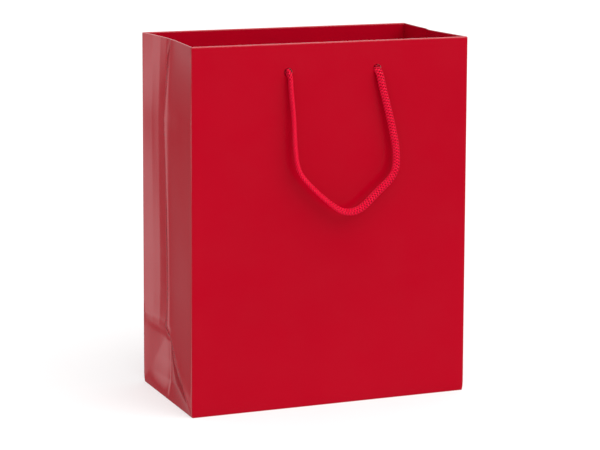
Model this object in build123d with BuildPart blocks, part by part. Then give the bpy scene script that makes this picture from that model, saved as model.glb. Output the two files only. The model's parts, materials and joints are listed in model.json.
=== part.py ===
from build123d import *
import os
from math import pi, radians, tan

# Gift bag of laminated art paper with a square bottom, side gussets and two braided cord
# handles. Millimetres. +Z is up, the front panel faces -Y, and the origin is the centre of
# the underside. The one sheet of paper is split at its creases: a panel is one solid.

# --- driving dimensions ---
width = 203.2  # 8 in across the front panel
depth = 106.0  # front panel to back panel, the gusset's width
height = 254.0  # 10 in from the floor to the folded top edge
paper = 0.35  # laminated art paper
card = 1.0  # greyboard strips folded into the top hem
board = 1.5  # loose greyboard base insert
gusset_bulge = 1.5  # how far a gusset's middle crease stands outside the corner edges

hem = 38.0  # depth of the top edge folded to the inside
card_drop = 33.0  # height of the reinforcement card inside the hem
card_side_gap = 3.0  # the card stops this far short of the bag's corners
flap_reach = 64.0  # depth of the glued bottom flaps, front and back
side_flap_reach = 50.0  # depth of the bottom side flaps
side_flap_taper = 22.0  # each end of a side flap is cut back this much at its free edge
glue_flap_width = 20.0  # the sheet's side seam
board_side_gap = 3.5  # play round the loose base board, so that it lifts past creased gussets
body_gap = 0.3  # clear distance between pieces that move against each other

cord_d = 5.0  # braided cord, taken as round
hole_d = 6.0  # punched straight through wall, card and hem
hole_spacing = 65.4
hole_drop = 19.5  # hole centres below the top edge
knot_depth = 9.6  # how far a knot stands into the bag
knot_size = 15.0  # across the knot, so that it can't pull through the hole
knot_round = 2.0
tail_length = 11.0
stub_proud = 0.4  # the cord in the hole stops this far outside the panel

# Front cord's route: x, stand-off from the panel's outer face, z. It hangs in a lopsided
# loop from the left hole to the right one, and the back cord repeats it turned half round.
axis_standoff = cord_d / 2 + stub_proud + body_gap
hole_z = height - hole_drop
cord_route = [
    (-hole_spacing / 2, axis_standoff, hole_z),
    (-32.4, 3.9, 224.0),
    (-30.8, 5.2, 205.0),
    (-30.2, 6.6, 184.0),
    (-28.6, 7.8, 167.2),
    (-17.6, 8.8, 155.0),
    (-6.0, 9.6, 144.6),
    (4.4, 10.0, 137.4),
    (16.6, 9.8, 138.2),
    (29.8, 9.0, 150.4),
    (43.8, 7.8, 161.2),
    (45.4, 6.8, 176.5),
    (41.2, 5.6, 198.0),
    (35.9, 4.2, 219.0),
    (hole_spacing / 2, axis_standoff, hole_z),
]
bend_share = 0.45  # share of the shorter run that each arc of a cord takes

# --- levels and faces worked out from them ---
half_w = width / 2
half_d = depth / 2
fold_z = depth / 2  # crease round the bag where the bottom folds in
front_in = half_d - paper  # inner face of the front and back panels
card_in = front_in - card  # inner face of the reinforcement cards
hem_in = card_in - paper  # inner face of the front and back hems
hem_z = height - hem
side_flap_z = 2 * paper
side_foot_z = 3 * paper  # gussets stand on the three layers of the bottom
board_z = side_foot_z + body_gap

os.makedirs("parts", exist_ok=True)


def save(part, name):
    """Labels one finished piece and writes its STEP file."""
    part.label = name
    export_step(part, f"parts/{name}.step")


def side_plate(corners, side):
    """A flat panel of a gusset: its outline on the outer face, thickened inwards along X."""
    a, b, c = (Vector(*p) for p in corners[:3])
    plane = Plane(origin=a, x_dir=b - a, z_dir=(b - a).cross(c - a))
    outline = [plane.to_local_coords(Vector(*p)) for p in corners]
    with BuildPart() as plate:
        with BuildSketch(plane):
            with BuildLine():
                Polyline(*[(p.X, p.Y) for p in outline], close=True)
            make_face()
        extrude(amount=paper, dir=(-side, 0, 0))
    return plate.part


def hem_strip(face, side):
    """Plan outline of half a gusset hem, lying against the gusset's inner face."""
    edge_x = side * (half_w - paper)
    crease_x = side * (half_w + gusset_bulge - paper)
    corner_x = edge_x + (crease_x - edge_x) * (1 - hem_in / front_in)
    return [
        (crease_x, 0),
        (corner_x, face * hem_in),
        (corner_x - side * paper, face * hem_in),
        (crease_x - side * paper, 0),
    ]


# --- front and back panels: upright walls with two punched cord holes each ---
for face, name, foot in ((-1, "front_panel", paper), (1, "back_panel", 2 * paper)):
    with BuildPart() as wall:
        with BuildSketch(Plane.XZ.offset(-face * front_in)):
            with Locations((0, (foot + height) / 2)):
                Rectangle(width, height - foot)
            with Locations((-hole_spacing / 2, hole_z), (hole_spacing / 2, hole_z)):
                Circle(hole_d / 2, mode=Mode.SUBTRACT)
        extrude(amount=-face * paper)
    save(wall.part, name)

# --- gussets: two upper halves and three facets under the bottom crease on each side ---
for side, side_name in ((-1, "left"), (1, "right")):
    edge = side * half_w
    crease = side * (half_w + gusset_bulge)
    crease_top = (crease, 0, height)
    crease_foot = (crease, 0, fold_z)
    for face, face_name in ((-1, "front"), (1, "back")):
        corner_y = face * front_in
        upper = [(edge, corner_y, fold_z), crease_foot, crease_top, (edge, corner_y, height)]
        save(side_plate(upper, side), f"{side_name}_gusset_{face_name}_half")
        lower = [(edge, corner_y, fold_z), crease_foot, (edge, corner_y, side_foot_z)]
        save(side_plate(lower, side), f"{side_name}_gusset_{face_name}_facet")
    foot = [(edge, -front_in, side_foot_z), crease_foot, (edge, front_in, side_foot_z)]
    save(side_plate(foot, side), f"{side_name}_gusset_foot_facet")

# --- glued bottom: front flap outermost, back flap over it, tapered side flaps on top ---
for face, name, level in ((-1, "bottom_front_flap", 0), (1, "bottom_back_flap", paper)):
    with BuildPart() as flap:
        with BuildSketch(Plane.XY.offset(level)):
            with Locations((0, face * (half_d - flap_reach / 2))):
                Rectangle(width, flap_reach)
        extrude(amount=paper)
    save(flap.part, name)

for side, name in ((-1, "bottom_left_flap"), (1, "bottom_right_flap")):
    root = side * half_w
    tip = side * (half_w - side_flap_reach)
    tip_y = front_in - side_flap_taper
    with BuildPart() as flap:
        with BuildSketch(Plane.XY.offset(side_flap_z)):
            with BuildLine():
                Polyline((root, -front_in), (root, front_in), (tip, tip_y), (tip, -tip_y), close=True)
            make_face()
        extrude(amount=paper)
    save(flap.part, name)

# --- side seam: the flap that glues the sheet's end to the back panel's inner face ---
seam_outer = half_w - paper - body_gap
with BuildPart() as seam:
    with BuildSketch(Plane.XZ.offset(-front_in)):
        with Locations((seam_outer - glue_flap_width / 2, (side_foot_z + hem_z) / 2)):
            Rectangle(glue_flap_width, hem_z - side_foot_z)
    extrude(amount=paper)
save(seam.part, "side_glue_flap")

# --- top hems, front and back: folded over the card and down behind it ---
hem_width = width - 2 * (paper + body_gap)
for face, name in ((-1, "front_hem"), (1, "back_hem")):
    with BuildPart() as turn_in:
        with BuildSketch(Plane.YZ):
            with BuildLine():
                Polyline(
                    (face * front_in, height),
                    (face * front_in, height - paper),
                    (face * card_in, height - paper),
                    (face * card_in, hem_z),
                    (face * hem_in, hem_z),
                    (face * hem_in, height),
                    close=True,
                )
            make_face()
        extrude(amount=hem_width / 2, both=True)
        with BuildSketch(Plane.XZ.offset(-face * hem_in)):
            with Locations((-hole_spacing / 2, hole_z), (hole_spacing / 2, hole_z)):
                Circle(hole_d / 2)
        extrude(amount=-face * paper, mode=Mode.SUBTRACT)
    save(turn_in.part, name)

# --- top hems of the gussets, each split at the middle crease ---
for side, side_name in ((-1, "left"), (1, "right")):
    for face, face_name in ((-1, "front"), (1, "back")):
        with BuildPart() as strip:
            with BuildSketch(Plane.XY.offset(hem_z)):
                with BuildLine():
                    Polyline(*hem_strip(face, side), close=True)
                make_face()
            extrude(amount=hem)
        save(strip.part, f"{side_name}_hem_{face_name}_half")

# --- reinforcement cards inside the front and back hems ---
card_width = width - 2 * card_side_gap
card_top = height - paper
for face, name in ((-1, "front_hem_card"), (1, "back_hem_card")):
    with BuildPart() as stiffener:
        with BuildSketch(Plane.XZ.offset(-face * card_in)):
            with Locations((0, card_top - card_drop / 2)):
                Rectangle(card_width, card_drop)
            with Locations((-hole_spacing / 2, hole_z), (hole_spacing / 2, hole_z)):
                Circle(hole_d / 2, mode=Mode.SUBTRACT)
        extrude(amount=-face * card)
    save(stiffener.part, name)

# --- loose base board, resting on the bottom flaps ---
board_width = 2 * (half_w - paper - board_side_gap)
board_depth = 2 * (front_in - paper - board_side_gap)
with BuildPart() as base:
    with BuildSketch(Plane.XY.offset(board_z)):
        RectangleRounded(board_width, board_depth, 1.5)
    extrude(amount=board)
save(base.part, "base_board")

# --- cords: knot and hanging tail inside, stub through the hole, free loop outside ---
knot_seat = hem_in - body_gap / 3
stub_end = half_d + stub_proud
for face, face_name in ((-1, "front"), (1, "back")):
    for side, side_name in ((-1, "left"), (1, "right")):
        hole_x = side * hole_spacing / 2
        inner_plane = Plane(origin=(hole_x, face * knot_seat, hole_z), z_dir=(0, face, 0))
        with BuildPart() as stub:
            with BuildSketch(inner_plane):
                Circle(cord_d / 2)
            extrude(amount=stub_end - knot_seat)
        save(stub.part, f"{face_name}_cord_{side_name}_stub")

        with BuildPart() as knot:
            with BuildSketch(inner_plane):
                Rectangle(knot_size, knot_size)
            extrude(amount=-knot_depth)
            fillet(knot.edges(), radius=knot_round)
        save(knot.part, f"{face_name}_cord_{side_name}_knot")

        tail_y = face * (knot_seat - knot_depth / 2)
        tail_plane = Plane(origin=(hole_x, tail_y, hole_z - knot_size / 2), z_dir=(0, 0, -1))
        with BuildPart() as tail:
            with BuildSketch(tail_plane):
                Circle(cord_d / 2)
            extrude(amount=tail_length)
        save(tail.part, f"{face_name}_cord_{side_name}_tail")

# --- the free loops: straight runs joined by arcs ---
for turn, name in ((1, "front_handle_cord"), (-1, "back_handle_cord")):
    points = [Vector(turn * x, -turn * (half_d + off), z) for x, off, z in cord_route]
    runs = [end - start for start, end in zip(points, points[1:])]
    radii = []
    for before, after in zip(runs, runs[1:]):
        half_turn = before.get_angle(after) / 2
        shorter = min(before.length, after.length)
        radii.append(bend_share * shorter / tan(radians(half_turn)))
    with BuildPart() as loop:
        with BuildLine() as path:
            FilletPolyline(*points, radius=radii)
        with BuildSketch(Plane(origin=points[0], z_dir=runs[0])):
            Circle(cord_d / 2)
        sweep()
    save(loop.part, name)
    swept = pi * (cord_d / 2) ** 2 * path.wires()[0].length
    print(name, "length", round(path.wires()[0].length, 1), "volume ratio",
          round(loop.part.volume / swept, 4), "radii", [round(r, 1) for r in radii])
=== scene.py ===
import json
import math

import bpy
from mathutils import Matrix, Vector, noise

# A gloss red laminated gift bag with two flat-braided cord handles, built round the packed
# frame. Metres; the front panel faces -Y. The paper is one sheet whose walls, top fold and hem
# are a single mesh, and each cord is a real eight-strand braid along its own route.
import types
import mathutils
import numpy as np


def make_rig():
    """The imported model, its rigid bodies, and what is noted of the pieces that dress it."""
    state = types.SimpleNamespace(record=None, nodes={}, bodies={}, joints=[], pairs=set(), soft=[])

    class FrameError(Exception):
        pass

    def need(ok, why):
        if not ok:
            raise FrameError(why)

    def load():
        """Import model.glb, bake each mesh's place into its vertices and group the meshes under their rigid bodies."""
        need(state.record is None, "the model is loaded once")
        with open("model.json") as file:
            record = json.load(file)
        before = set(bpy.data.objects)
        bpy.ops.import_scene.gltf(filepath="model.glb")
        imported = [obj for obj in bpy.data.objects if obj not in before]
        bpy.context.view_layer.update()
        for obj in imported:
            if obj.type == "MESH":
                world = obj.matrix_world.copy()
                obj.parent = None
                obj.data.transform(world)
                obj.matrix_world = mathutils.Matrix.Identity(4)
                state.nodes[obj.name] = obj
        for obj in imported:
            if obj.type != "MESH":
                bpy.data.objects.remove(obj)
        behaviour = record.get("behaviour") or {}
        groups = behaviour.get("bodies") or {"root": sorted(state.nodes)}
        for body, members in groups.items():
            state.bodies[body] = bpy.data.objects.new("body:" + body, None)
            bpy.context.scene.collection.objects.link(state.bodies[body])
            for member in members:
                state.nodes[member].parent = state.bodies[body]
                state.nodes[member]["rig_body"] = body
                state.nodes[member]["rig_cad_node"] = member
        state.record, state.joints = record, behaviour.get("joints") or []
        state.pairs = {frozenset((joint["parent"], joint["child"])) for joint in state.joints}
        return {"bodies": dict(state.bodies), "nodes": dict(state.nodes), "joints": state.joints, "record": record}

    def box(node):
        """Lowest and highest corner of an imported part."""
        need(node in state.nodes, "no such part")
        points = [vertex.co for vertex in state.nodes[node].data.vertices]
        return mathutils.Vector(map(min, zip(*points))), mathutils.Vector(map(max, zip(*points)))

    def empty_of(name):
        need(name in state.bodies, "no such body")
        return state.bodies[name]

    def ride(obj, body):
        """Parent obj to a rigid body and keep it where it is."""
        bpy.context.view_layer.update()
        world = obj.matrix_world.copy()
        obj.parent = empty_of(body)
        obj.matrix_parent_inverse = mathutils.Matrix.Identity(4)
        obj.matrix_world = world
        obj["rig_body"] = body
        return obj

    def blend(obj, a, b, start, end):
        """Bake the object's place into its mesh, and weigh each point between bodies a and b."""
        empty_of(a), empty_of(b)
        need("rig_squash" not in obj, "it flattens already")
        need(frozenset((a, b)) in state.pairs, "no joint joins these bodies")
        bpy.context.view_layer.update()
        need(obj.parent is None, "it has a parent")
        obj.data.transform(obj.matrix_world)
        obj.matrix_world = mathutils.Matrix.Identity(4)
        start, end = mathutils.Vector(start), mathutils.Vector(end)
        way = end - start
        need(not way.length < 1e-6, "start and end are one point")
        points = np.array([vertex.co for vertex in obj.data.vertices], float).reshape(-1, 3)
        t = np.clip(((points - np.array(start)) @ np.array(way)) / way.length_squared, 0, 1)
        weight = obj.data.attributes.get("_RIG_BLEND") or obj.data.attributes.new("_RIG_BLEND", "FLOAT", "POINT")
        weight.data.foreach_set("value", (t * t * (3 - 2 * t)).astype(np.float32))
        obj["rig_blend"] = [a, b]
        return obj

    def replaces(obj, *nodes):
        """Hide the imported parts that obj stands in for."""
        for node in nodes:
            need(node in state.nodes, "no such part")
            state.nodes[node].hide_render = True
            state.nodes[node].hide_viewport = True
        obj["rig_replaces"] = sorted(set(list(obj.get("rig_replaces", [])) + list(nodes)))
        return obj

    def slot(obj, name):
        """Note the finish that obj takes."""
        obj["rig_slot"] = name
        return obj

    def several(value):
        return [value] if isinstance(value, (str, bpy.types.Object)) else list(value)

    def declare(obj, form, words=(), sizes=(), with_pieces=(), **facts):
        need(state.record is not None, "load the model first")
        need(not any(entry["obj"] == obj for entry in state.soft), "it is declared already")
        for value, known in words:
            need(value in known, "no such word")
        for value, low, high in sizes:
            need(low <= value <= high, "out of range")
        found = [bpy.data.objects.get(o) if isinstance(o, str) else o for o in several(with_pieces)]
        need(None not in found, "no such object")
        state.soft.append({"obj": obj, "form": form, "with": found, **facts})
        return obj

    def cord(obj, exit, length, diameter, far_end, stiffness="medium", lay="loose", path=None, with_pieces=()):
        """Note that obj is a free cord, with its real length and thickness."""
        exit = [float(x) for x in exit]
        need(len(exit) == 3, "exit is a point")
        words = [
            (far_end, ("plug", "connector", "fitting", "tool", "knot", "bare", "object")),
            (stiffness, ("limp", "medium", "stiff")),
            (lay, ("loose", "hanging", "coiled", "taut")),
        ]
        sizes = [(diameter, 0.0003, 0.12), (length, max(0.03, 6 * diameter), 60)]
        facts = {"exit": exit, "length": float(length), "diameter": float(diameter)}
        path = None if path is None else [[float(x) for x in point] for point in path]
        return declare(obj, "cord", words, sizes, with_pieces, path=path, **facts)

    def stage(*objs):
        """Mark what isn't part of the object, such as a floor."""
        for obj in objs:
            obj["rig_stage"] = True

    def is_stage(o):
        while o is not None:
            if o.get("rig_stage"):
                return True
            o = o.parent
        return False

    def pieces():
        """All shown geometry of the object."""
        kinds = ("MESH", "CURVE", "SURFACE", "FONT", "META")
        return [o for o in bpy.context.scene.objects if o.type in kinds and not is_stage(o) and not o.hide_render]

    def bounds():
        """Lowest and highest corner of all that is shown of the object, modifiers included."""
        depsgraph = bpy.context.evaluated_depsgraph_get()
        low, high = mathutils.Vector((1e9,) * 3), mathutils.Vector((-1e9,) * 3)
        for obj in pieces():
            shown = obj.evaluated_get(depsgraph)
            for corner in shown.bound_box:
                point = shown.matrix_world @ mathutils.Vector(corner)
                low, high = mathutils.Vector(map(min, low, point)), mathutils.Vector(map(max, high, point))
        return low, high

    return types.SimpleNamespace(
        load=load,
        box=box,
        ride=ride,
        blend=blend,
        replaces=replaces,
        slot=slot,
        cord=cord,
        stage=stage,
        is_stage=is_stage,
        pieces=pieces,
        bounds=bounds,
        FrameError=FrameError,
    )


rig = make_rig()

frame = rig.load()
cad_low, cad_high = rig.bounds()
mm = 0.001

# --- sizes read from the frame ---
panel_low, panel_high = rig.box("front_panel")
card_low, card_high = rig.box("front_hem_card")
board_low, board_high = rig.box("base_board")
stub_low, stub_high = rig.box("front_cord_right_stub")
half_w = panel_high.x
half_d = -panel_low.y
top_z = panel_high.z
paper = panel_high.y - panel_low.y
card = card_high.y - card_low.y
hem_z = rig.box("front_hem")[0].z
fold_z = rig.box("left_gusset_front_half")[0].z
hole_x = (stub_low.x + stub_high.x) / 2
hole_z = (stub_low.z + stub_high.z) / 2
hole_r = 3.0 * mm


# =====================================================================================
# Camera
# =====================================================================================
camera_place = Vector((-0.5713, -1.4047, 0.4092))
camera_azimuth = math.radians(-22.05)
camera_elevation = math.radians(10.87)
camera_roll = math.radians(0.21)
camera_lens = 130.16


def make_camera():
    """The photograph's viewpoint: a long lens from the front left, a little above."""
    ca, sa = math.cos(camera_azimuth), math.sin(camera_azimuth)
    ce, se = math.cos(camera_elevation), math.sin(camera_elevation)
    back = Vector((sa * ce, -ca * ce, se))
    level = (-back).cross(Vector((0, 0, 1))).normalized()
    up = level.cross(-back)
    right = math.cos(camera_roll) * level + math.sin(camera_roll) * up
    up = right.cross(-back)
    data = bpy.data.cameras.new("camera")
    data.lens = camera_lens
    data.clip_start, data.clip_end = 0.05, 60.0
    camera = bpy.data.objects.new("camera", data)
    axes = Matrix((right, up, back)).transposed().to_4x4()
    camera.matrix_world = Matrix.Translation(camera_place) @ axes
    bpy.context.scene.collection.objects.link(camera)
    bpy.context.scene.camera = camera


make_camera()


# =====================================================================================
# Materials
# =====================================================================================
def new_material(name, **sockets):
    """A Principled material with these sockets set, its node tree and its shader."""
    material = bpy.data.materials.new(name)
    material.use_nodes = True
    shader = material.node_tree.nodes["Principled BSDF"]
    for socket, value in sockets.items():
        shader.inputs[socket.replace("_", " ")].default_value = value
    return material, material.node_tree, shader


def add_node(tree, kind, **values):
    """A node of this kind: a value goes to its socket of that name, or else its property."""
    node = tree.nodes.new(kind)
    for name, value in values.items():
        socket = node.inputs.get(name.replace("_", " "))
        if socket is not None:
            socket.default_value = value
        else:
            setattr(node, name, value)
    return node


def noise_from(tree, vector, scale, detail=3.0, roughness=0.5):
    """Noise from 0 to 1, read at this place and scale."""
    texture = add_node(tree, "ShaderNodeTexNoise", Scale=scale, Detail=detail, Roughness=roughness)
    tree.links.new(vector, texture.inputs["Vector"])
    return texture.outputs["Fac"]


def stretched(tree, source, scale):
    """A place vector scaled along each axis, so that noise read from it is drawn out."""
    mapping = add_node(tree, "ShaderNodeMapping", Scale=scale)
    tree.links.new(source, mapping.inputs["Vector"])
    return mapping.outputs["Vector"]


def ramp(tree, factor, *stops):
    """A colour ramp through (position, colour) stops."""
    node = tree.nodes.new("ShaderNodeValToRGB")
    while len(node.color_ramp.elements) < len(stops):
        node.color_ramp.elements.new(0.5)
    for element, (position, colour) in zip(node.color_ramp.elements, stops):
        element.position = position
        element.color = (*colour, 1.0)
    tree.links.new(factor, node.inputs["Fac"])
    return node.outputs["Color"]


def calculate(tree, operation, *values):
    """The result of a Math node whose inputs are these sockets and numbers."""
    node = add_node(tree, "ShaderNodeMath", operation=operation)
    for socket, value in zip(node.inputs, values):
        if isinstance(value, bpy.types.NodeSocket):
            tree.links.new(value, socket)
        else:
            socket.default_value = value
    return node.outputs[0]


mix_first, mix_second, mix_result = 6, 7, 2  # the colour sockets of a Mix node


def mixed(tree, how, first, second):
    """Two colours multiplied or added in full."""
    node = add_node(tree, "ShaderNodeMix", data_type="RGBA", blend_type=how)
    node.inputs["Factor"].default_value = 1.0
    tree.links.new(first, node.inputs[mix_first])
    tree.links.new(second, node.inputs[mix_second])
    return node.outputs[mix_result]


def bump(tree, shader, height, strength, distance, under=None):
    """Fine relief on a material, over another bump if one is given."""
    node = add_node(tree, "ShaderNodeBump", Strength=strength, Distance=distance)
    tree.links.new(height, node.inputs["Height"])
    if under is not None:
        tree.links.new(under, node.inputs["Normal"])
    tree.links.new(node.outputs["Normal"], shader.inputs["Normal"])
    return node.outputs["Normal"]


def grey(value):
    return (value, value, value)


def make_laminate():
    """Red art paper under a gloss film: faint orange peel, with the fibres showing through."""
    material, tree, shader = new_material("red_gloss_laminate", IOR=1.5)
    place = tree.nodes.new("ShaderNodeTexCoord").outputs["Object"]
    tone = noise_from(tree, place, 9.0, detail=4.0)
    colour = ramp(tree, tone, (0.3, (0.400, 0.0008, 0.0115)), (0.7, (0.420, 0.0010, 0.0125)))
    tree.links.new(colour, shader.inputs["Base Color"])
    gloss = ramp(tree, noise_from(tree, place, 45.0), (0.3, grey(0.085)), (0.7, grey(0.12)))
    tree.links.new(gloss, shader.inputs["Roughness"])
    peel = bump(tree, shader, noise_from(tree, place, 420.0), 0.10, 0.05 * mm)
    bump(tree, shader, noise_from(tree, place, 1900.0, detail=2.0), 0.06, 0.03 * mm, peel)
    return material


def make_paper(name, light, dark):
    """Uncoated paper, on the sheet's inside and at its cut edges."""
    material, tree, shader = new_material(name, Roughness=0.88, Specular_IOR_Level=0.25)
    place = tree.nodes.new("ShaderNodeTexCoord").outputs["Object"]
    fibre = noise_from(tree, stretched(tree, place, (1.0, 1.0, 0.35)), 700.0, detail=5.0)
    tree.links.new(ramp(tree, fibre, (0.3, dark), (0.7, light)), shader.inputs["Base Color"])
    bump(tree, shader, fibre, 0.25, 0.06 * mm)
    return material


def make_greyboard():
    """Recycled board: warm grey with darker and lighter flecks and a felted surface."""
    material, tree, shader = new_material("greyboard", Roughness=0.92, Specular_IOR_Level=0.2)
    place = tree.nodes.new("ShaderNodeTexCoord").outputs["Object"]
    fleck = noise_from(tree, place, 520.0, detail=6.0, roughness=0.7)
    cloud = noise_from(tree, place, 30.0, detail=3.0)
    pulp = ramp(tree, fleck, (0.30, (0.20, 0.17, 0.14)), (0.45, (0.50, 0.46, 0.40)),
                (0.62, (0.58, 0.54, 0.47)), (0.75, (0.74, 0.71, 0.65)))
    shade = ramp(tree, cloud, (0.3, grey(0.86)), (0.7, grey(1.0)))
    tree.links.new(mixed(tree, "MULTIPLY", pulp, shade), shader.inputs["Base Color"])
    bump(tree, shader, fleck, 0.4, 0.12 * mm)
    return material


crown_turn = 0.25  # the share of a turn round a strand at which its outermost line lies


def make_braid_material():
    """Polypropylene yarn: fine filaments run along each strand, with painted shade in the grooves between strands."""
    material, tree, shader = new_material("red_braided_cord", IOR=1.5, Specular_IOR_Level=0.12)
    yarn = tree.nodes.new("ShaderNodeUVMap").outputs["UV"]
    filament = noise_from(tree, stretched(tree, yarn, (0.5, 9.0, 1.0)), 1.3, detail=3.0)
    colour = ramp(tree, filament, (0.28, (0.62, 0.0006, 0.018)), (0.5, (0.82, 0.0012, 0.034)),
                  (0.75, (0.95, 0.0120, 0.070)))
    # Painted shade: the colour darkens with the distance round each strand from its outermost line, so the grooves
    # between strands look shaded.
    around = tree.nodes.new("ShaderNodeSeparateXYZ")
    tree.links.new(yarn, around.inputs["Vector"])
    from_crown = calculate(tree, "SUBTRACT", around.outputs["Y"], crown_turn)
    depth = calculate(tree, "ABSOLUTE", from_crown)
    shade = ramp(tree, depth, (0.04, grey(1.0)), (0.12, grey(0.68)), (0.20, grey(0.25)))
    tree.links.new(mixed(tree, "MULTIPLY", colour, shade), shader.inputs["Base Color"])
    gloss = ramp(tree, filament, (0.3, grey(0.34)), (0.7, grey(0.24)))
    tree.links.new(gloss, shader.inputs["Roughness"])
    bump(tree, shader, filament, 0.35, 0.08 * mm)
    return material


def make_melt_material():
    """The heat-cut end of a cord: filaments fused to a darker, harder bead."""
    material, tree, shader = new_material("fused_cord_end", Roughness=0.3, IOR=1.49)
    place = tree.nodes.new("ShaderNodeTexCoord").outputs["Object"]
    blotch = noise_from(tree, place, 900.0, detail=4.0)
    colour = ramp(tree, blotch, (0.3, (0.20, 0.004, 0.012)), (0.7, (0.42, 0.008, 0.028)))
    tree.links.new(colour, shader.inputs["Base Color"])
    bump(tree, shader, blotch, 0.5, 0.2 * mm)
    return material


laminate = make_laminate()
paper_inside = make_paper("uncoated_paper", (0.86, 0.86, 0.84), (0.78, 0.78, 0.76))
paper_edge = make_paper("cut_paper_edge", (0.80, 0.66, 0.64), (0.72, 0.55, 0.54))
greyboard = make_greyboard()
braid_red = make_braid_material()
fused_red = make_melt_material()


# =====================================================================================
# Mesh helpers
# =====================================================================================
def mesh_object(name, points, faces, materials, uvs=None):
    """A smooth-shaded object from points and faces, with one UV pair a corner if given."""
    mesh = bpy.data.meshes.new(name)
    mesh.from_pydata([tuple(p) for p in points], [], faces)
    for material in materials:
        mesh.materials.append(material)
    if uvs is not None:
        layer = mesh.uv_layers.new(name="UVMap")
        layer.data.foreach_set("uv", [c for pair in uvs for c in pair])
    mesh.shade_smooth()
    mesh.update()
    obj = bpy.data.objects.new(name, mesh)
    bpy.context.scene.collection.objects.link(obj)
    return obj


def apply_modifiers(obj, crease_angle=math.radians(50)):
    """Makes the modifiers' result the object's own mesh, with its sharp edges marked."""
    graph = bpy.context.evaluated_depsgraph_get()
    result = bpy.data.meshes.new_from_object(obj.evaluated_get(graph))
    obj.modifiers.clear()
    obj.data = result
    result.set_sharp_from_angle(angle=crease_angle)
    return obj


def thicken(obj, thickness):
    """Gives a sheet its thickness behind its printed side: inside second, cut edges third."""
    solid = obj.modifiers.new("thickness", "SOLIDIFY")
    solid.thickness = thickness
    solid.offset = -1.0
    solid.material_offset = 1
    solid.material_offset_rim = 2
    return apply_modifiers(obj)


def place_piece(obj, body, slot, *nodes):
    """Sets the body that a piece rides on, its slot and the CAD nodes it stands for."""
    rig.ride(obj, body)
    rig.slot(obj, slot)
    if nodes:
        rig.replaces(obj, *nodes)
    return obj


def smoothstep(low, high, x):
    """0 up to low, 1 from high on, and a smooth rise between them."""
    t = min(1.0, max(0.0, (x - low) / (high - low)))
    return t * t * (3 - 2 * t)


def along(stops, x):
    """The value at x on straight lines through (x, value) stops."""
    for (x0, v0), (x1, v1) in zip(stops, stops[1:]):
        if x <= x1:
            return v0 + (v1 - v0) * max(0.0, x - x0) / (x1 - x0)
    return stops[-1][1]


def spread(low, high, step):
    """Evenly spaced values from low to high, about step apart."""
    count = max(1, round((high - low) / step))
    return [low + (high - low) * i / count for i in range(count + 1)]


# =====================================================================================
# The paper's real shape: how far each wall stands out from the flat CAD panels
# =====================================================================================
def millimetre_stops(*stops):
    """Stops for along(), from pairs in millimetres."""
    return [(at * mm, value * mm) for at, value in stops]


# Height, and how far the gusset's ridge stands out there. Keyed by side: -1 left, 1 right.
ridges = {
    -1: millimetre_stops((0, 0), (13, 0.6), (27, 0.5), (43, 0.1), (53, -0.3), (78, -1.2), (107, -1.0),
                         (134, -0.5), (163, 0.4), (190, 1.3), (200, 1.4), (217, -0.2), (238, -2.4),
                         (254, -4.2)),
    1: millimetre_stops((0, 0), (20, 0.3), (53, 0.2), (120, -1.2), (190, -2.2), (226, -3.4),
                        (254, -5.0)),
}
front_dish = 0.10 * mm  # how deep the half in front of the ridge is hollowed
dip = {-1: -2.6 * mm, 1: -0.8 * mm}  # the back half's lowest line, close behind the ridge
dip_follow = 0.35  # how much of the ridge's own sway that line follows
back_dish = [(9 * mm, 1.0), (22 * mm, 0.82), (35 * mm, 0.52), (53 * mm, 0.0)]  # shares of the dip
# Under the fold: stand-out at the gusset's middle and along the diagonal to its back corner.
middle_push = millimetre_stops((0, 0), (13, -3.0), (27, -3.5), (42, -3.2), (53, -0.8))
diagonal_push = millimetre_stops((0, 0), (13, -0.72), (27, -1.55), (43, -2.45), (53, -2.4))
foot_share = {-1: 1.0, 1: 0.4}
foot_hollow = 1.35  # above 1, the triangle under the ridge is hollow, steepest at the ridge
fold_turn = 6.0 * mm  # the panel turns into its folded shape within this much under the fold
ridge_fade = 8.0 * mm  # the ridge's crest dies out within this much under the fold
crest_height, crest_reach = 0.50 * mm, 4.0 * mm
pressed_line = 0.15 * mm  # a fainter crease down the middle of the foot, a little off centre
pressed_line_y = 1.5 * mm
panel_crest = 0.04 * mm  # what the fold's crease shows on the front and back panels
gusset_waver = 0.12 * mm
held_edge = 3.0 * mm  # creases and waver die out this close to the bag's corners and foot
crease_start = 6.0 * mm  # the fold's crease comes up within this much of the ridge
thinnest = 0.1 * mm  # keeps a facet's width above nothing at its tip
panel_bow = 0.5 * mm
panel_ripple = 0.10 * mm
roll_height = 7.0 * mm
roll_depth = 0.5 * mm
foot_radius = 0.35 * mm
foot_flare = 1.2 * mm  # the base board holds the foot a little wider than the top


def crest(distance, height=crest_height):
    """A pressed crease: a sharp line whose flanks relax back to the flat paper."""
    return height * math.exp(-abs(distance) / crest_reach)


def ridge_at(z):
    """Where the gusset's ridge runs: up the middle, and under the fold to the front corner."""
    return 0.0 if z >= fold_z else -half_d * (1 - z / fold_z)


def folded_foot(side, y, z, front_line):
    """The gusset's stand-out behind its ridge and under the fold: three pushed-in triangles."""
    share = foot_share[side]
    back_line = -front_line
    middle, diagonal = (share * along(stops, z) for stops in (middle_push, diagonal_push))
    if y < 0:
        ridge = along(ridges[side], z)
        return middle + (ridge - middle) * (y / front_line) ** foot_hollow
    if y < back_line:
        return middle + (diagonal - middle) * y / back_line
    return diagonal * (half_d - y) / max(half_d - back_line, thinnest)


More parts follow.
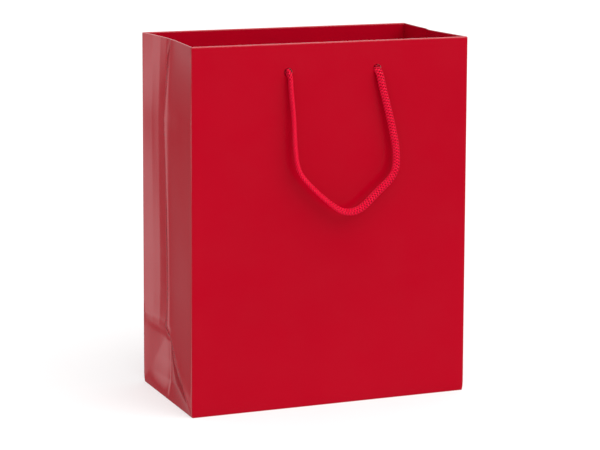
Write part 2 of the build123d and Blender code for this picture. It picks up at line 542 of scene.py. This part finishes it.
def gusset_offset(side, y, z):
    """How far the gusset stands outside its flat plane at y and z."""
    ridge, centre = along(ridges[side], z), ridge_at(z)
    if y <= centre:
        width = max(centre + half_d, thinnest)
        t = (y + half_d) / width
        out = ridge * t - front_dish * 4 * t * (1 - t) * width / half_d
    else:
        behind = max(y, 0.0)
        lowest = dip[side] + dip_follow * ridge
        out = along([(0.0, ridge), *((at, share * lowest) for at, share in back_dish)], behind)
        if z < fold_z:
            under = folded_foot(side, y, z, centre)
            out += (under - out) * min(1.0, (fold_z - z) / fold_turn)
    slant = 1.0 if z >= fold_z else math.sqrt(0.5)
    held = smoothstep(0.0, held_edge, half_d - abs(y)) * smoothstep(0.0, held_edge, z)
    out += crest((y - centre) * slant) * held * smoothstep(fold_z - ridge_fade, fold_z, z)
    if y > 0:
        out += crest(z - fold_z) * smoothstep(0.0, crease_start, y) * held
    if z < fold_z:
        out += crest(y - pressed_line_y, pressed_line) * held
    waver = noise.noise(Vector((side * 3.1, y / (30 * mm), z / (50 * mm))))
    return out + gusset_waver * waver * held


def wall_offset(face, x, z):
    """How far the front or back panel stands outside its flat plane at x and z."""
    share = 1 - (x / half_w) ** 2
    bow = panel_bow * share * math.sin(math.pi * min(1.0, max(0.0, z / top_z)))
    ripple = panel_ripple * share * noise.noise(Vector((x / (60 * mm), face * 2.3, z / (90 * mm))))
    return bow + ripple + crest(z - fold_z, panel_crest) * min(1.0, 4 * share)


def roll_in(z):
    """How far the walls turn inwards just above the floor."""
    inwards = roll_depth * (1 - z / roll_height) ** 2 if z < roll_height else 0.0
    if z < foot_radius:
        inwards += foot_radius - math.sqrt(max(0.0, foot_radius**2 - (foot_radius - z) ** 2))
    return inwards


def flare(z):
    """How much wider than at the top the bag stands, as a share of its width."""
    return 1.0 + foot_flare / half_w * (1 - z / top_z)


# =====================================================================================
# The sheet: four walls, the fold over the top edge and the hem inside, as one surface
# =====================================================================================
corner_r = 0.7 * mm
corner_steps = 4
hole_block = 7.0 * mm  # half the side of the square round a hole that rings of faces fill
hole_rings = (0.45, 0.8)
same_place = 0.01 * mm  # closer together than this counts as the same line
fine_step = 1.3 * mm  # between columns across a gusset, and between rows up to the fold
hole_step = 2.4 * mm  # beside and above the holes
wide_step = 5.0 * mm  # over the rest of the front and back panels
tall_step = 4.0 * mm  # between rows from the fold to the holes
hem_step = 3.0 * mm
foot_rows = [0.0, 0.06 * mm, 0.18 * mm, 0.35 * mm, 1.2 * mm, 2.4 * mm]  # round the foot's edge
rim_rows_end = 1.2 * mm  # the last row stops this far under the top
fold_steps = 8


class Ring:
    """The plan outline of the walls, or of the hem inside them, with rounded corners."""

    def __init__(self, half_x, half_y, radius):
        self.half_x, self.half_y, self.radius = half_x, half_y, radius

    def at(self, column, inset):
        """The flat plan point of a column, and the outward direction there."""
        wall, t = column
        half_x, half_y, r = self.half_x - inset, self.half_y - inset, self.radius
        x, y = half_x - r, half_y - r
        if wall == "back":
            return Vector((-t * x, half_y, 0)), Vector((0, 1, 0))
        if wall == "left":
            return Vector((-half_x, -t * y, 0)), Vector((-1, 0, 0))
        if wall == "front":
            return Vector((t * x, -half_y, 0)), Vector((0, -1, 0))
        if wall == "right":
            return Vector((half_x, t * y, 0)), Vector((1, 0, 0))
        corner_x, corner_y, start = wall
        angle = math.radians(start + 90 * t)
        out = Vector((math.cos(angle), math.sin(angle), 0))
        return Vector((corner_x * x, corner_y * y, 0)) + r * out, out

    def place(self, column, z):
        """The real place of a column at height z, with the paper's bows and creases."""
        point, out = self.at(column, roll_in(z))
        wall = column[0]
        if wall in ("front", "back"):
            point = point + out * wall_offset(1 if wall == "back" else -1, point.x, z)
        elif wall in ("left", "right"):
            point = point + out * gusset_offset(-1 if wall == "left" else 1, point.y, z)
        return Vector((point.x * flare(z), point.y, z))


walls = Ring(half_w, half_d, corner_r)
hems = Ring(half_w - 2 * paper, half_d - 2 * paper - card, 0.3 * mm)


def panel_columns():
    """Shares of the panel's width from -1 to 1, with lines at the hole blocks' sides."""
    reach = half_w - corner_r
    marks = [-reach, -hole_x - hole_block, -hole_x + hole_block,
             hole_x - hole_block, hole_x + hole_block, reach]
    steps = [wide_step, hole_step, wide_step, hole_step, wide_step]
    shares = [-1.0]
    for low, high, step in zip(marks, marks[1:], steps):
        shares += [value / reach for value in spread(low, high, step)[1:]]
    return shares


def make_columns():
    """All columns round the bag, anticlockwise from the back right corner."""
    across = panel_columns()
    reach = half_d - corner_r
    depthwise = [value / reach for value in spread(-reach, reach, fine_step)]
    columns = []
    order = [("back", across, (-1, 1, 90)), ("left", depthwise, (-1, -1, 180)),
             ("front", across, (1, -1, 270)), ("right", depthwise, (1, 1, 0))]
    for wall, shares, corner in order:
        columns += [(wall, share) for share in shares]
        columns += [(corner, (i + 1) / (corner_steps + 1)) for i in range(corner_steps)]
    return columns


def make_rows():
    """Rows up the wall, over the fold and down the hem: (stretch, height or angle)."""
    fine_end = fold_z + 4 * mm
    low_rows = foot_rows + spread(3.6 * mm, fine_end, fine_step)
    high_rows = spread(fine_end, hole_z - hole_block, tall_step)[1:]
    hole_rows = spread(hole_z - hole_block, hole_z + hole_block, hole_step)
    rim_rows = spread(hole_z + hole_block, top_z - rim_rows_end, hole_step)[1:]
    inside_rows = spread(hem_z, hole_z - hole_block, hem_step)[:-1] + hole_rows + rim_rows
    rows = [("wall", z) for z in low_rows + high_rows + hole_rows[1:] + rim_rows]
    rows += [("fold", math.pi * i / fold_steps) for i in range(fold_steps + 1)]
    rows += [("hem", z) for z in reversed(inside_rows)]
    return rows


def sheet_point(column, row):
    """Where a column meets a row: on the wall, on the hem or round the fold between them."""
    stretch, value = row
    if stretch == "wall":
        return walls.place(column, value)
    if stretch == "hem":
        return hems.place(column, value)
    outside, inside = walls.place(column, top_z), hems.place(column, top_z)
    radius = (outside - inside).length / 2
    middle = (outside + inside) / 2
    point = middle + (outside - middle) * math.cos(value)
    return Vector((point.x, point.y, top_z - radius + radius * math.sin(value)))


def in_block(low, high, centre):
    """Whether a face's span lies in the square block round a hole."""
    reach = hole_block + same_place
    return low > centre - reach and high < centre + reach


def punch(points, faces, index, columns, rows, wall, stretch, centre_x):
    """Fills one hole's square block with rings that run in to the punched circle."""
    ring = walls if stretch == "wall" else hems
    reach = ring.half_x - ring.radius
    facing = 1 if wall == "front" else -1
    in_reach = hole_block + same_place
    cols = [i for i, c in enumerate(columns)
            if c[0] == wall and abs(facing * c[1] * (half_w - corner_r) - centre_x) < in_reach]
    lines = [j for j, r in enumerate(rows) if r[0] == stretch and abs(r[1] - hole_z) < in_reach]
    loop = [index[i, lines[0]] for i in cols] + [index[cols[-1], j] for j in lines[1:]]
    loop += [index[i, lines[-1]] for i in reversed(cols[:-1])]
    loop += [index[cols[0], j] for j in reversed(lines[1:-1])]
    edge = [(points[k].x, points[k].z) for k in loop]
    for share in (*hole_rings, 1.0):
        inner = []
        for x, z in edge:
            angle = math.atan2(z - hole_z, x - centre_x)
            px = x + (centre_x + hole_r * math.cos(angle) - x) * share
            pz = z + (hole_z + hole_r * math.sin(angle) - z) * share
            inner.append(len(points))
            points.append(ring.place((wall, facing * px / reach), pz))
        for a in range(len(loop)):
            b = (a + 1) % len(loop)
            faces.append((loop[a], loop[b], inner[b], inner[a]))
        loop = inner


def make_sheet():
    """Walls, top fold and hem of the one sheet of paper, with its eight punched holes."""
    columns, rows = make_columns(), make_rows()
    points, index, faces = [], {}, []
    for i, column in enumerate(columns):
        for j, row in enumerate(rows):
            index[i, j] = len(points)
            points.append(sheet_point(column, row))
    for i, column in enumerate(columns):
        following = (i + 1) % len(columns)
        same = column[0] == columns[following][0] and column[0] in ("front", "back")
        xs = sorted((walls.at(column, 0)[0].x, walls.at(columns[following], 0)[0].x))
        beside = same and any(in_block(*xs, side * hole_x) for side in (-1, 1))
        for j, (row, above) in enumerate(zip(rows, rows[1:])):
            zs = sorted((row[1], above[1]))
            if beside and row[0] == above[0] != "fold" and in_block(*zs, hole_z):
                continue
            faces.append((index[i, j], index[following, j], index[following, j + 1], index[i, j + 1]))
    for wall in ("front", "back"):
        for stretch in ("wall", "hem"):
            for side in (-1, 1):
                punch(points, faces, index, columns, rows, wall, stretch, side * hole_x)
    sheet = mesh_object("paper_sheet", points, faces, [laminate, paper_inside, paper_edge])
    return thicken(sheet, paper)


sheet = make_sheet()
sheet_nodes = ["front_panel", "back_panel", "front_hem", "back_hem"]
for side_name in ("left", "right"):
    for part_name in ("front_half", "back_half", "front_facet", "back_facet", "foot_facet"):
        sheet_nodes.append(f"{side_name}_gusset_{part_name}")
    sheet_nodes += [f"{side_name}_hem_front_half", f"{side_name}_hem_back_half"]
place_piece(sheet, "bag", "laminated_paper", *sheet_nodes)


# =====================================================================================
# Flat pieces: bottom flaps, glue flap, reinforcement cards and base board
# =====================================================================================
def flat_grid(xs, ys, place):
    """Points and faces of a grid; place turns its two values into a point."""
    points = [place(x, y) for y in ys for x in xs]
    width = len(xs)
    faces = [(j * width + i, j * width + i + 1, (j + 1) * width + i + 1, (j + 1) * width + i)
             for j in range(len(ys) - 1) for i in range(width - 1)]
    return points, faces


flap_inset = roll_depth + 0.5 * mm  # the bottom's flaps stop this far inside the walls
side_flap_taper = 22.0 * mm  # each end of a side flap is cut back this much at its free edge
glue_lift = 0.12 * mm  # how unevenly the back flap lies on its glue


def make_bottom_flaps():
    """Four glued flaps: the printed side faces the floor, and the side flaps lie on top."""
    reach_x = half_w - flap_inset
    for face, face_name, node in ((-1, "front", "bottom_front_flap"), (1, "back", "bottom_back_flap")):
        low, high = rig.box(node)
        edge = face * (half_d - flap_inset)
        free = high.y if face < 0 else low.y
        ys = spread(min(edge, free), max(edge, free), 6 * mm)

        def lie(x, y, z=low.z):
            """Runs from right to left, so that the printed side faces down."""
            if face > 0:
                z += glue_lift * (1 + noise.noise(Vector((x / (50 * mm), y / (30 * mm), face))))
            return Vector((-x, y, z))

        points, faces = flat_grid(spread(-reach_x, reach_x, 8 * mm), ys, lie)
        flap = mesh_object(f"flap_bottom_{face_name}", points, faces,
                           [laminate, paper_inside, paper_edge])
        place_piece(thicken(flap, paper), "bag", "laminated_paper", node)
    for side, side_name in ((-1, "left"), (1, "right")):
        node = f"bottom_{side_name}_flap"
        low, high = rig.box(node)
        length = high.x - low.x - flap_inset

        def lie(t, s, z=low.z):
            half = (half_d - flap_inset - paper) - side_flap_taper * t
            return Vector((side * (half_w - flap_inset - length * t), side * half * s, z))

        points, faces = flat_grid(spread(0.0, 1.0, 0.1), spread(-1.0, 1.0, 0.08), lie)
        flap = mesh_object(f"flap_bottom_{side_name}", points, faces,
                           [laminate, paper_inside, paper_edge])
        place_piece(thicken(flap, paper), "bag", "laminated_paper", node)


def make_glue_flap():
    """The side seam inside the back panel, white side out."""
    low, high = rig.box("side_glue_flap")

    def lie(x, z):
        return Vector((x, high.y + wall_offset(1, x, z) - roll_in(z), z))

    points, faces = flat_grid(spread(low.x, high.x, 4 * mm), spread(low.z, high.z, 5 * mm), lie)
    faces = [tuple(reversed(face)) for face in faces]
    flap = mesh_object("seam_glue_flap", points, faces, [laminate, paper_inside, paper_edge])
    place_piece(thicken(flap, paper), "bag", "laminated_paper", "side_glue_flap")


card_step = 3.5 * mm
card_top_gap = 0.5 * mm  # leaves room for the paper's fold over the card


def card_lines(low, high, top):
    """The grid lines of a reinforcement card, with lines at the hole blocks' sides."""
    marks = [low.x, -hole_x - hole_block, -hole_x + hole_block,
             hole_x - hole_block, hole_x + hole_block, high.x]
    xs = [low.x]
    for start, end in zip(marks, marks[1:]):
        xs += spread(start, end, card_step)[1:]
    zs = spread(low.z, hole_z - hole_block, hem_step)
    zs += spread(hole_z - hole_block, hole_z + hole_block, card_step)[1:]
    zs += spread(hole_z + hole_block, top, hem_step)[1:]
    return xs, zs


def punch_card(points, faces, lie):
    """The card's faces with each hole block filled from its rim to the punched circle."""

    def from_hole(point, side):
        return max(abs(point.x - side * hole_x), abs(point.z - hole_z))

    kept = []
    for quad in faces:
        centre = sum((points[k] for k in quad), Vector()) / 4
        if all(from_hole(centre, side) >= hole_block for side in (-1, 1)):
            kept.append(quad)
    for side in (-1, 1):

        def angle_of(k):
            return math.atan2(points[k].z - hole_z, points[k].x - side * hole_x)

        block = [k for k, p in enumerate(points) if abs(from_hole(p, side) - hole_block) < same_place]
        block.sort(key=angle_of)
        rim = []
        for angle in [angle_of(k) for k in block]:
            rim.append(len(points))
            points.append(lie(side * hole_x + hole_r * math.cos(angle),
                              hole_z + hole_r * math.sin(angle)))
        for a in range(len(block)):
            b = (a + 1) % len(block)
            kept.append((block[a], block[b], rim[b], rim[a]))
    return kept


def make_hem_cards():
    """Greyboard strips between each wall and its hem, punched for the cord."""
    for face, face_name in ((-1, "front"), (1, "back")):
        node = f"{face_name}_hem_card"
        low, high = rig.box(node)

        def lie(x, z):
            return Vector((x, face * (half_d - paper + wall_offset(face, x, z)), z))

        points, faces = flat_grid(*card_lines(low, high, high.z - card_top_gap), lie)
        faces = punch_card(points, faces, lie)
        if face > 0:
            faces = [tuple(reversed(quad)) for quad in faces]
        strip = mesh_object(f"stiffener_{face_name}", points, faces, [greyboard] * 3)
        place_piece(thicken(strip, card), "bag", "greyboard", node)


board_step = 5.0 * mm
board_corner = 3.0 * mm
board_warp = 0.25 * mm
board_edge = 0.35 * mm


def make_base_board():
    """The loose insert: a board with softened edges, rounded corners and a slight warp."""
    xs = spread(board_low.x, board_high.x, board_step)
    ys = spread(board_low.y, board_high.y, board_step)
    straight_x, straight_y = board_high.x - board_corner, board_high.y - board_corner

    def lie(x, y):
        over_x = max(0.0, abs(x) - straight_x)
        over_y = max(0.0, abs(y) - straight_y)
        if over_x and over_y:
            shrink = board_corner / max(board_corner, math.hypot(over_x, over_y))
            x = math.copysign(straight_x + over_x * shrink, x)
            y = math.copysign(straight_y + over_y * shrink, y)
        warp = board_warp * noise.noise(Vector((x / (90 * mm), y / (70 * mm), 5.0)))
        return Vector((x, y, board_high.z + min(0.0, warp)))

    points, faces = flat_grid(xs, ys, lie)
    base = mesh_object("base_insert_board", points, faces, [greyboard] * 3)
    solid = base.modifiers.new("thickness", "SOLIDIFY")
    solid.thickness = board_high.z - board_low.z
    solid.offset = -1.0
    soft = base.modifiers.new("soft_edge", "BEVEL")
    soft.width = board_edge
    soft.segments = 2
    soft.limit_method = "ANGLE"
    soft.angle_limit = math.radians(60)
    place_piece(apply_modifiers(base), "base_insert", "greyboard", "base_board")


make_bottom_flaps()
make_glue_flap()
make_hem_cards()
make_base_board()


# =====================================================================================
# Cords: an eight-strand flat braid along each route
# =====================================================================================
cord_half_width = 2.9 * mm
cord_half_thickness = 1.8 * mm
braid_pitch = 8.4 * mm
strand_half_width = 0.80 * mm
strand_half_height = 0.68 * mm
strand_weave = 0.44 * mm
strand_sides = 7
strands_each_way = 4
braid_step = 0.28 * mm
core_sides = 12
core_fullness = 1.1  # fills the core out to the strands across the braid's thin side
core_thinned = 4  # the core takes every fourth step of the route
taper_reach = 2.0 * mm  # a tail's strands draw together over its last stretch
tail_taper = 0.35
bend_reach = 2.2 * mm  # half the length of cord that bends when a handle swings

# The front cord's route outside the bag: x, stand-off from the panel, z. Same as in CAD.
cord_route = [
    (-32.7, 3.2, 234.5),
    (-32.4, 3.9, 224.0),
    (-30.8, 5.2, 205.0),
    (-30.2, 6.6, 184.0),
    (-28.6, 7.8, 167.2),
    (-17.6, 8.8, 155.0),
    (-6.0, 9.6, 144.6),
    (4.4, 10.0, 137.4),
    (16.6, 9.8, 138.2),
    (29.8, 9.0, 150.4),
    (43.8, 7.8, 161.2),
    (45.4, 6.8, 176.5),
    (41.2, 5.6, 198.0),
    (35.9, 4.2, 219.0),
    (32.7, 3.2, 234.5),
]
inside_hole = -2.6  # stand-off where a loop's end stops, inside the punched hole


def nurbs_line(name, points):
    """Points read along a smooth NURBS line that has these control points."""
    data = bpy.data.curves.new(name, "CURVE")
    data.dimensions = "3D"
    spline = data.splines.new("NURBS")
    spline.points.add(len(points) - 1)
    for slot_point, point in zip(spline.points, points):
        slot_point.co = (*point, 1.0)
    spline.order_u = 3
    spline.use_endpoint_u = True
    spline.resolution_u = 24
    curve = bpy.data.objects.new(name, data)
    bpy.context.scene.collection.objects.link(curve)
    graph = bpy.context.evaluated_depsgraph_get()
    mesh = bpy.data.meshes.new_from_object(curve.evaluated_get(graph))
    line = [vertex.co.copy() for vertex in mesh.vertices]
    bpy.data.objects.remove(curve)
    bpy.data.curves.remove(data)
    bpy.data.meshes.remove(mesh)
    return line


def even_steps(line, step):
    """The same line with evenly spaced points."""
    lengths = [0.0]
    for a, b in zip(line, line[1:]):
        lengths.append(lengths[-1] + (b - a).length)
    count = max(2, round(lengths[-1] / step))
    points, k = [], 0
    for i in range(count + 1):
        target = lengths[-1] * i / count
        while k < len(line) - 2 and lengths[k + 1] < target:
            k += 1
        span = max(lengths[k + 1] - lengths[k], 1e-9)
        points.append(line[k].lerp(line[k + 1], (target - lengths[k]) / span))
    return points, lengths[-1]


def twist_free_frames(points, first_wide):
    """The wide and the thin direction at each point, turned no more than the line itself."""
    tangents = [(points[min(i + 1, len(points) - 1)] - points[max(i - 1, 0)]).normalized()
                for i in range(len(points))]
    wide = (first_wide - tangents[0] * first_wide.dot(tangents[0])).normalized()
    frames = []
    for i, tangent in enumerate(tangents):
        if i:
            wide = tangents[i - 1].rotation_difference(tangent) @ wide
            wide = (wide - tangent * wide.dot(tangent)).normalized()
        frames.append((wide, tangent.cross(wide)))
    return frames


def tube(points, faces, uvs, centres, rings, lengthwise):
    """Adds one closed tube to a mesh, with UVs in millimetres along and turns round it."""
    start = len(points)
    sides = len(rings[0])
    for centre, ring in zip(centres, rings):
        points += [centre + spoke for spoke in ring]
    for i in range(len(centres) - 1):
        for k in range(sides):
            n = (k + 1) % sides
            a, b = start + i * sides, start + (i + 1) * sides
            faces.append((a + k, a + n, b + n, b + k))
            u0, u1 = lengthwise[i], lengthwise[i + 1]
            v0, v1 = k / sides, (k + 1) / sides
            uvs += [(u0, v0), (u0, v1), (u1, v1), (u1, v0)]
    last = start + (len(centres) - 1) * sides
    faces.append(tuple(start + k for k in reversed(range(sides))))
    faces.append(tuple(last + k for k in range(sides)))
    uvs += [(0.0, 0.0)] * (2 * sides)


strand_reach_w = cord_half_width - strand_half_height - strand_weave
strand_reach_t = cord_half_thickness - strand_half_height - strand_weave


def oval(wide, thin, sides):
    """The spokes of an oval ring on two half-axes."""
    turns = [2 * math.pi * k / sides for k in range(sides)]
    return [wide * math.cos(t) + thin * math.sin(t) for t in turns]


def strand(line, turned, share, length, way, number, end_taper):
    """One strand's centres and rings: it runs round the flat braid and over and under the others."""
    centres, outs = [], []
    for at, (wide, thin), s in zip(line, turned, share):
        phase = 2 * math.pi * s * length / braid_pitch
        angle = way * phase + 2 * math.pi * number / strands_each_way
        lift = way * strand_weave * math.cos(strands_each_way * phase)
        close = 1.0 - end_taper * smoothstep(1.0 - taper_reach / length, 1.0, s)
        centres.append(at + (wide * (strand_reach_w + lift) * math.cos(angle)
                             + thin * (strand_reach_t + lift) * math.sin(angle)) * close)
        outs.append(wide * math.cos(angle) + thin * math.sin(angle))
    rings = []
    for i, out in enumerate(outs):
        ahead = centres[min(i + 1, len(centres) - 1)] - centres[max(i - 1, 0)]
        ahead.normalize()
        side = ahead.cross(out).normalized()
        up = side.cross(ahead)
        rings.append(oval(side * strand_half_width, up * strand_half_height, strand_sides))
    return centres, rings


def braid(name, control, first_wide, roll_at, end_taper=0.0):
    """A flat eight-strand braid along a NURBS route: the object, its centreline and length."""
    line, length = even_steps(nurbs_line(name + "_route", control), braid_step)
    frames = twist_free_frames(line, first_wide)
    share = [i / (len(line) - 1) for i in range(len(line))]
    turned = []
    for (wide, thin), s in zip(frames, share):
        roll = roll_at(s)
        turned.append((wide * math.cos(roll) + thin * math.sin(roll),
                       thin * math.cos(roll) - wide * math.sin(roll)))
    points, faces, uvs = [], [], []
    millimetres = [s * length / mm for s in share]
    for way in (-1, 1):
        for number in range(strands_each_way):
            centres, rings = strand(line, turned, share, length, way, number, end_taper)
            tube(points, faces, uvs, centres, rings, millimetres)
    core_rings = [oval(wide * strand_reach_w, thin * strand_reach_t * core_fullness, core_sides)
                  for wide, thin in turned[::core_thinned]]
    tube(points, faces, uvs, line[::core_thinned], core_rings, millimetres[::core_thinned])
    obj = mesh_object(name, points, faces, [braid_red], uvs)
    return obj, line, length


def loop_roll(s):
    """The flat cord hangs edge-on at its first leg and turns face-on by its second."""
    return math.radians(along([(0.0, 0.0), (0.10, 6.0), (0.22, 28.0), (0.30, 24.0), (0.42, 30.0),
                               (0.52, 60.0), (0.66, 86.0), (1.0, 90.0)], s))


def make_loop(name, turn, body, face_name):
    """One free loop, from inside its first hole to inside its second."""
    route = [(cord_route[0][0], inside_hole, cord_route[0][2]), *cord_route,
             (cord_route[-1][0], inside_hole, cord_route[-1][2])]
    control = [Vector((turn * x * mm, -turn * (half_d + off * mm), z * mm)) for x, off, z in route]
    loop, line, length = braid(name, control, Vector((0, 0, 1)), loop_roll)
    axis = next(j for j in frame["joints"] if j["child"] == body)["pos_m"]
    elbow = Vector((0, -turn, -1)).normalized() * bend_reach
    middle = Vector((0, axis[1], axis[2]))
    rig.blend(loop, "bag", body, start=middle - elbow, end=middle + elbow)
    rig.slot(loop, "braided_cord")
    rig.replaces(loop, f"{face_name}_handle_cord")
    return loop, line, length


knot_points = 22  # control points round a knot


def knot_route(turn, x):
    """A tight overhand knot against the hem: in through the hole, round, and a hanging tail."""
    seat = half_d - 2 * paper - card
    depth, ring, wrap = 4.3, 4.1, 2.1
    local = [(-2.2, 0.0, 0.0), (0.6, 0.0, 0.0), (1.8, 0.6, -1.6)]
    first, last = -math.pi / 6, 2 * math.pi - math.pi / 6 - 0.5
    for t in spread(first, last, (last - first) / (knot_points - 1)):
        out = ring + wrap * math.cos(3 * t)
        local.append((depth + wrap * math.sin(3 * t), out * math.cos(2 * t), out * math.sin(2 * t)))
    local += [(4.2, 0.6, -8.0), (3.6, 1.2, -12.0), (3.1, 1.6, -17.3)]
    return [Vector(((x + turn * right * mm), -turn * (seat - inward * mm), hole_z + up * mm))
            for inward, right, up in local]


def fused_end(name, at, direction):
    """A small melted bead that closes the cut end of a tail."""
    rings, sides = 6, 14
    half_width, half_thickness, half_length, roughness = 2.3 * mm, 1.7 * mm, 1.1 * mm, 0.25 * mm
    side = direction.orthogonal().normalized()
    across = direction.cross(side)
    points, faces = [], []
    for j in range(rings + 1):
        lat = -math.pi / 2 + math.pi * j / rings
        for k in range(sides):
            turn = 2 * math.pi * k / sides
            out = side * math.cos(turn) * half_width + across * math.sin(turn) * half_thickness
            point = at + out * max(math.cos(lat), 0.02) + direction * half_length * math.sin(lat)
            rough = roughness * noise.noise(point / (1.2 * mm))
            points.append(point + (point - at).normalized() * rough)
    for j in range(rings):
        for k in range(sides):
            n = (k + 1) % sides
            faces.append((j * sides + k, j * sides + n, (j + 1) * sides + n, (j + 1) * sides + k))
    faces.append(tuple(reversed(range(sides))))
    faces.append(tuple(rings * sides + k for k in range(sides)))
    return mesh_object(name, points, faces, [fused_red])


def make_cords():
    """Both handles: a free loop, and a knot with its tail at each end inside the bag."""
    for turn, face_name in ((1, "front"), (-1, "back")):
        handle = f"{face_name}_handle"
        loop, line, length = make_loop(f"{handle}_braid", turn, handle, face_name)
        ends = []
        for side, side_name in ((-1, "left"), (1, "right")):
            control = knot_route(turn, side * hole_x)
            knot, knot_line, _ = braid(f"{face_name}_{side_name}_knot_braid", control,
                                       Vector((0, 0, 1)), lambda s: 0.0, end_taper=tail_taper)
            start = f"{face_name}_cord_{side_name}"
            place_piece(knot, "bag", "braided_cord", start + "_stub", start + "_knot", start + "_tail")
            bead = fused_end(f"{face_name}_{side_name}_tail_end", knot_line[-1],
                             (knot_line[-1] - knot_line[-4]).normalized())
            place_piece(bead, "bag", "braided_cord")
            ends += [knot, bead]
        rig.cord(loop, exit=line[0], length=length, diameter=2 * cord_half_width, far_end="object",
                stiffness="limp", lay="hanging", path=line, with_pieces=ends)


make_cords()


# =====================================================================================
# Floor, world and lights
# =====================================================================================
floor_half = 12.0
floor_drop = 0.05 * mm  # keeps the floor's face apart from the bag's underside
ambient_level = 0.86
key_strength, key_azimuth, key_elevation, key_spread = 1.95, 24.0, 52.0, 60.0
# What the gloss reflects, by direction: degrees from +Y, negative on the bag's left. The bright
# wall on the left is the one that the left gusset shows. The right one is its dimmer echo.
studio_levels = [(-180.0, 0.01), (-146.0, 0.02), (-134.0, 0.30), (-118.0, 0.30), (-105.0, 0.06),
                 (-70.0, 0.35), (-45.0, 0.60), (-31.0, 0.78), (-27.5, 0.95), (-26.0, 0.78),
                 (-24.5, 0.42), (-23.0, 0.08), (-22.0, 0.11), (-21.0, 0.17), (-18.5, 0.19),
                 (-15.5, 0.22), (-13.0, 0.30), (-10.0, 0.38), (-8.5, 0.05), (0.0, 0.02),
                 (22.0, 0.10), (34.0, 0.40), (60.0, 0.40), (80.0, 0.10), (118.0, 0.25),
                 (134.0, 0.25), (146.0, 0.02), (180.0, 0.01)]
# What height adds to that. It is the direction's z, and the last level is a bright ceiling.
overhead_levels = [(-0.30, 0.03), (-0.16, 0.01), (-0.05, 0.02), (0.0, 0.10), (0.08, 0.45),
                   (0.50, 2.4)]


def make_floor():
    """A plain white floor, faintly lit from within like a light table, and left out of the gloss."""
    material, tree, shader = new_material("plain_floor", Roughness=0.95, Specular_IOR_Level=0.1,
                                          Emission_Color=(1.0, 1.0, 1.0, 1.0), Emission_Strength=0.5)
    place = tree.nodes.new("ShaderNodeTexCoord").outputs["Object"]
    shade = ramp(tree, noise_from(tree, place, 3.0), (0.3, grey(0.44)), (0.7, grey(0.46)))
    tree.links.new(shade, shader.inputs["Base Color"])
    points, faces = flat_grid([-floor_half, floor_half], [-floor_half, floor_half],
                              lambda x, y: Vector((x, y, -floor_drop)))
    floor = mesh_object("floor", points, faces, [material])
    floor.visible_glossy = False
    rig.stage(floor)


def make_world():
    """Even white light, but gloss reflects the studio's bright and dark walls and its ceiling."""
    world = bpy.data.worlds.new("studio")
    world.use_nodes = True
    tree = world.node_tree
    light = tree.nodes["Background"]
    light.inputs["Color"].default_value = (1.0, 1.0, 1.0, 1.0)
    light.inputs["Strength"].default_value = ambient_level
    toward = tree.nodes.new("ShaderNodeTexCoord").outputs["Generated"]
    axes = tree.nodes.new("ShaderNodeSeparateXYZ")
    tree.links.new(toward, axes.inputs["Vector"])
    turn = calculate(tree, "ARCTAN2", axes.outputs["X"], axes.outputs["Y"])
    share = calculate(tree, "MULTIPLY_ADD", turn, 0.5 / math.pi, 0.5)
    walls_seen = ramp(tree, share, *((at / 360 + 0.5, grey(v)) for at, v in studio_levels))
    lowest = overhead_levels[0][0]
    height = calculate(tree, "ADD", axes.outputs["Z"], -lowest)
    ceiling = ramp(tree, height, *((at - lowest, grey(v)) for at, v in overhead_levels))
    seen = tree.nodes.new("ShaderNodeBackground")
    tree.links.new(mixed(tree, "ADD", walls_seen, ceiling), seen.inputs["Color"])
    choose = tree.nodes.new("ShaderNodeMixShader")
    glossy = tree.nodes.new("ShaderNodeLightPath").outputs["Is Glossy Ray"]
    tree.links.new(glossy, choose.inputs["Fac"])
    tree.links.new(light.outputs["Background"], choose.inputs[1])
    tree.links.new(seen.outputs["Background"], choose.inputs[2])
    tree.links.new(choose.outputs["Shader"], tree.nodes["World Output"].inputs["Surface"])
    world.cycles.sampling_method = "NONE"
    bpy.context.scene.world = world


def make_key():
    """One very soft key light from the front right. Its shadow falls behind on the left."""
    azimuth, elevation = math.radians(key_azimuth), math.radians(key_elevation)
    toward = Vector((math.sin(azimuth) * math.cos(elevation),
                     -math.cos(azimuth) * math.cos(elevation), math.sin(elevation)))
    data = bpy.data.lights.new("key", "SUN")
    data.energy = key_strength
    data.angle = math.radians(key_spread)
    light = bpy.data.objects.new("key", data)
    light.location = toward * 3.0
    light.visible_glossy = False
    light.rotation_mode = "QUATERNION"
    light.rotation_quaternion = (-toward).to_track_quat("-Z", "Y")
    bpy.context.scene.collection.objects.link(light)


make_floor()
make_world()
make_key()
bpy.context.scene.view_settings.view_transform = "Standard"

model_low, model_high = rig.bounds()
with open("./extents.json", "w") as size_file:
    json.dump({"cad": [list(cad_low), list(cad_high)],
               "visual": [list(model_low), list(model_high)]}, size_file)
